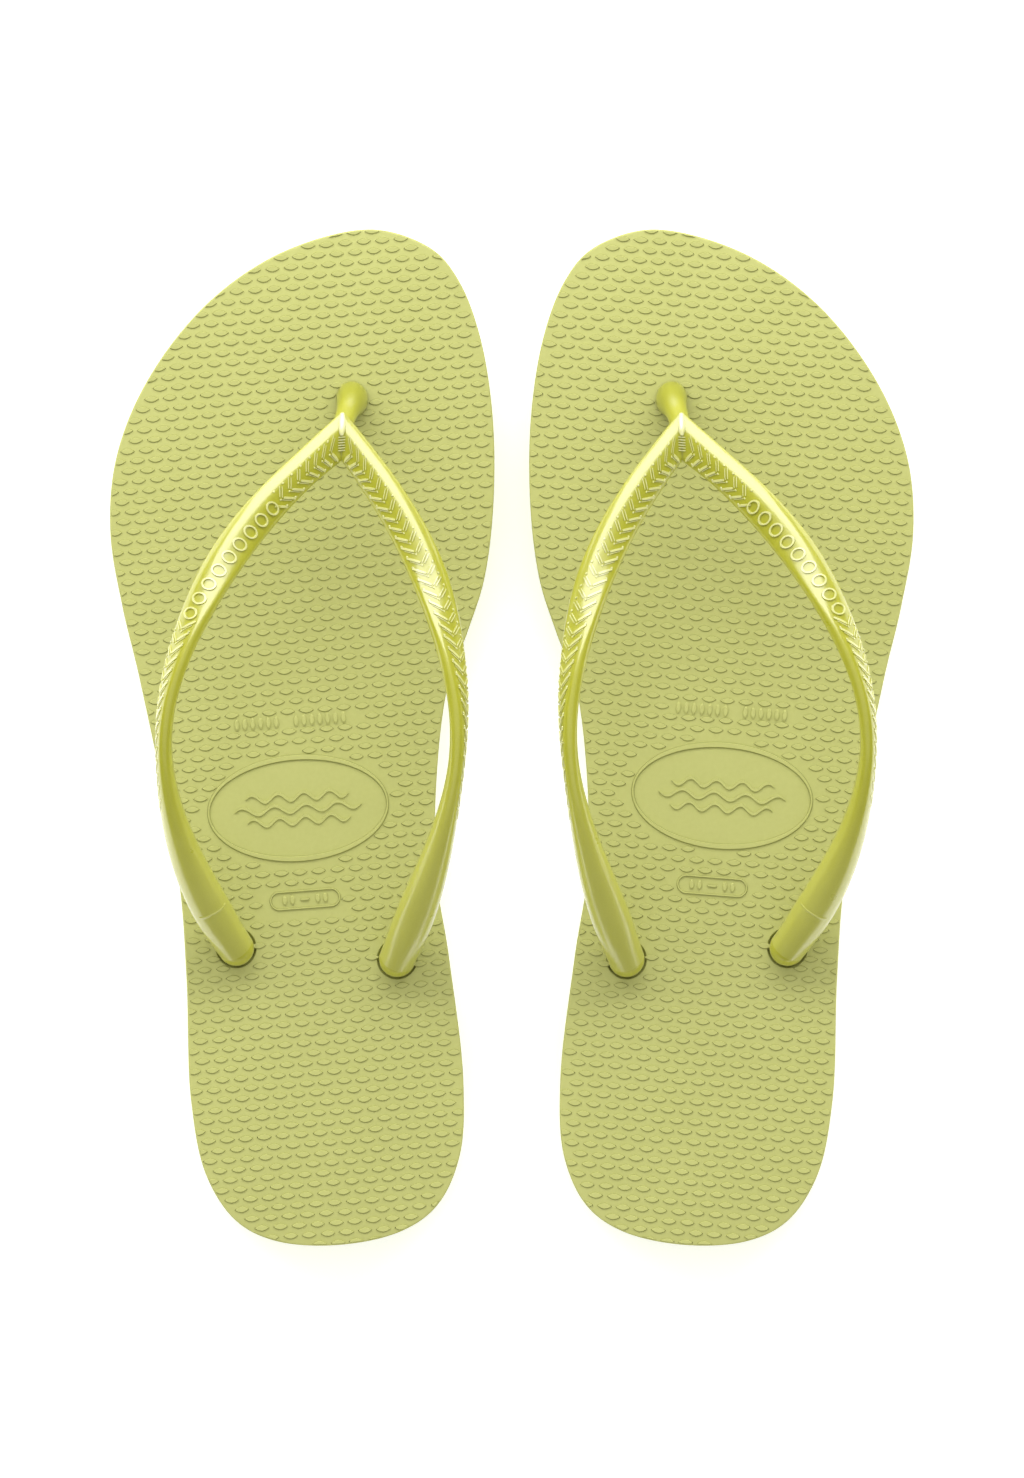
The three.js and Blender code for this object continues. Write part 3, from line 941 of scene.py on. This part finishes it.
class Finish:
    """A material under construction."""

    def __init__(self, name):
        self.material = bpy.data.materials.new(name)
        self.material.use_nodes = True
        self.tree = self.material.node_tree
        self.tree.nodes.clear()
        self.out = self.tree.nodes.new("ShaderNodeOutputMaterial")

    def node(self, kind, settings, *values, output=0, **named):
        """A node: its settings first, then its sockets' values or links, by order or by name."""
        made = self.tree.nodes.new(kind)
        for key, value in settings.items():
            setattr(made, key, value)
        sockets = list(enumerate(values)) + [(key.replace("_", " "), value) for key, value in named.items()]
        for key, value in sockets:
            if isinstance(value, Value):
                self.tree.links.new(value.socket, made.inputs[key])
            elif value is not None:
                made.inputs[key].default_value = value
        return Value(self, made.outputs[output])

    def place(self, scale=(1, 1, 1)):
        """Where a point is on the piece, stretched by the scale."""
        point = self.node("ShaderNodeTexCoord", {}, output="Object")
        return self.node("ShaderNodeMapping", {}, Vector=point, Scale=scale)

    def noise(self, place, scale, detail):
        return self.node("ShaderNodeTexNoise", {}, Vector=place, Scale=scale, Detail=detail)

    def raised(self):
        """The painted light that meshes carry: above 0 a painted highlight, as on a raised top, below 0
        painted shade, as in a crease.
        """
        return self.node("ShaderNodeAttribute", {"attribute_name": "raised"}, output="Fac")

    def mix(self, share, low, high):
        """One colour turning into another."""
        settings = {"data_type": "RGBA", "clamp_factor": True}
        made = self.node("ShaderNodeMix", settings, share, output=2)
        for socket, colour in ((6, low), (7, high)):
            if isinstance(colour, Value):
                self.tree.links.new(colour.socket, made.socket.node.inputs[socket])
            else:
                made.socket.node.inputs[socket].default_value = (*colour, 1)
        return made

    def bump(self, height, strength, distance):
        return self.node("ShaderNodeBump", {}, Height=height, Strength=strength, Distance=distance)

    def done(self, shader):
        self.tree.links.new(shader.socket, self.out.inputs["Surface"])
        return self.material


def footbed_rubber():
    """Matt soft rubber with a faint mottle, and painted shade in the creases round its grains and heel
    print.
    """
    finish = Finish("footbed_rubber")
    place = finish.place()
    cloud = finish.noise(place, 45, 3)
    speckle = finish.noise(place, 900, 2)
    share = cloud * 0.5 + speckle * 0.5
    rubber = finish.mix(share, (0.48, 0.49, 0.15), (0.56, 0.57, 0.20))
    # painted shade: creases are mixed towards dark olive
    colour = finish.mix(finish.raised() * -0.75, rubber, (0.17, 0.18, 0.03))
    normal = finish.bump(speckle, 0.25, 0.0001)
    return finish.done(
        finish.node(
            "ShaderNodeBsdfPrincipled", {}, Base_Color=colour, Roughness=0.72 + 0.1 * cloud,
            Normal=normal, Specular_IOR_Level=0.3,
        )
    )


def outsole_rubber():
    """The denser rubber under it, with fine marks of the cutting along its sides."""
    finish = Finish("outsole_rubber")
    cloud = finish.noise(finish.place(), 60, 3)
    cuts = finish.noise(finish.place((900, 900, 60)), 1, 2)
    colour = finish.mix(cloud * 0.6 + cuts * 0.4, (0.45, 0.47, 0.13), (0.53, 0.55, 0.17))
    normal = finish.bump(cuts, 0.3, 0.0001)
    return finish.done(
        finish.node(
            "ShaderNodeBsdfPrincipled", {}, Base_Color=colour, Roughness=0.7 + 0.12 * cloud,
            Normal=normal, Specular_IOR_Level=0.3,
        )
    )


def strap_vinyl():
    """Milky, pearly vinyl that lets light through its thin edges; its raised pattern, the crest of the V
    and the tails are painted paler as a highlight, and the pattern's creases and the post's foot are
    painted darker as shade.
    """
    finish = Finish("strap_vinyl")
    place = finish.place()
    cloud = finish.noise(place, 160, 3)
    flakes = finish.noise(place, 2600, 2)
    raised = finish.raised()
    body = finish.mix(cloud * 0.35 + flakes * 0.65, (0.42, 0.42, 0.012), (0.52, 0.52, 0.045))
    # painted highlight: tops of the pattern, the crest and the tails are mixed towards pale
    painted_highlight_colour = finish.mix(raised * 0.75, body, (0.80, 0.80, 0.36))
    # painted shade: creases and the post's foot are mixed towards dark olive
    colour = finish.mix(raised * -0.8, painted_highlight_colour, (0.17, 0.18, 0.01))
    normal = finish.bump(flakes, 0.12, 0.0001)
    return finish.done(
        finish.node(
            "ShaderNodeBsdfPrincipled", {"subsurface_method": "RANDOM_WALK"}, Base_Color=colour,
            Roughness=0.26 + 0.05 * cloud, Normal=normal, Subsurface_Weight=0.25,
            Subsurface_Radius=(1.0, 1.0, 0.25), Subsurface_Scale=0.002, IOR=1.85, Coat_Weight=0.6,
            Coat_Roughness=0.12, Coat_IOR=1.6, Specular_IOR_Level=0.5,
        )
    )


# ---------------------------------------------------------------- the two shoes

shapes = {"grain": grain_mesh(), "bar": bar_mesh(), "stud": stud_mesh(), "ring": ring_mesh()}
footbed_finish, outsole_finish, strap_finish = footbed_rubber(), outsole_rubber(), strap_vinyl()
for shoe in SHOES:
    footbed(shoe, shapes, footbed_finish)
    outsole(shoe, shapes, outsole_finish)
    strap(shoe, shapes, strap_finish)

# ---------------------------------------------------------------- floor, light and camera


def pale_floor():
    bm = bmesh.new()
    bmesh.ops.create_grid(bm, x_segments=2, y_segments=2, size=60)
    bmesh.ops.translate(bm, verts=bm.verts[:], vec=(0, 0, -5e-5))
    floor = solid(bm, "floor")
    finish = Finish("floor_paper")
    floor.data.materials.append(
        finish.done(
            finish.node(
                "ShaderNodeBsdfPrincipled", {}, Base_Color=(0.9, 0.9, 0.9, 1), Roughness=0.9,
                Specular_IOR_Level=0.2, Emission_Color=(1, 1, 1, 1), Emission_Strength=0.45,
            )
        )
    )


def softbox(name, place, target, size, power, glossy):
    """A soft light, which either lights the surfaces or is only reflected in them."""
    light = bpy.data.lights.new(name, "AREA")
    light.shape = "RECTANGLE"
    light.size, light.size_y = size
    light.energy = power
    lamp = bpy.data.objects.new(name, light)
    bpy.context.scene.collection.objects.link(lamp)
    lamp.location = place
    lamp.rotation_euler = (Vector(target) - Vector(place)).to_track_quat("-Z", "Y").to_euler()
    lamp.visible_camera = False
    lamp.visible_glossy = glossy
    lamp.visible_diffuse = not glossy
    return lamp


CAMERA_HEIGHT = 12
VIEW_HEIGHT = 0.3834

pale_floor()
softbox("key_softbox", (-0.15, 1.5, 1.0), (0, 0, 0), (4.4, 0.8), 52, False)
softbox("front_wall", (-0.1, 1.6, 1.1), (0, 0, 0.3), (2.2, 2.2), 62, True)
softbox("ceiling", (0, 0, 3), (0, 0, 0), (4, 4), 20, True)
world = bpy.data.worlds.new("studio")
bpy.context.scene.world = world
world.use_nodes = True
world.node_tree.nodes["Background"].inputs["Color"].default_value = (1, 1, 1, 1)
world.node_tree.nodes["Background"].inputs["Strength"].default_value = 0.72
world.cycles_visibility.glossy = False

lens = bpy.data.cameras.new("camera")
lens.sensor_fit = "VERTICAL"
lens.sensor_height = 36
lens.sensor_width = 36
lens.lens = 36 * CAMERA_HEIGHT / VIEW_HEIGHT
lens.clip_end = 200
camera = bpy.data.objects.new("camera", lens)
bpy.context.scene.collection.objects.link(camera)
camera.location = (0.00005, -0.0004, CAMERA_HEIGHT + 0.014)
bpy.context.scene.camera = camera
bpy.context.scene.view_settings.view_transform = "Standard"

bpy.context.view_layer.update()
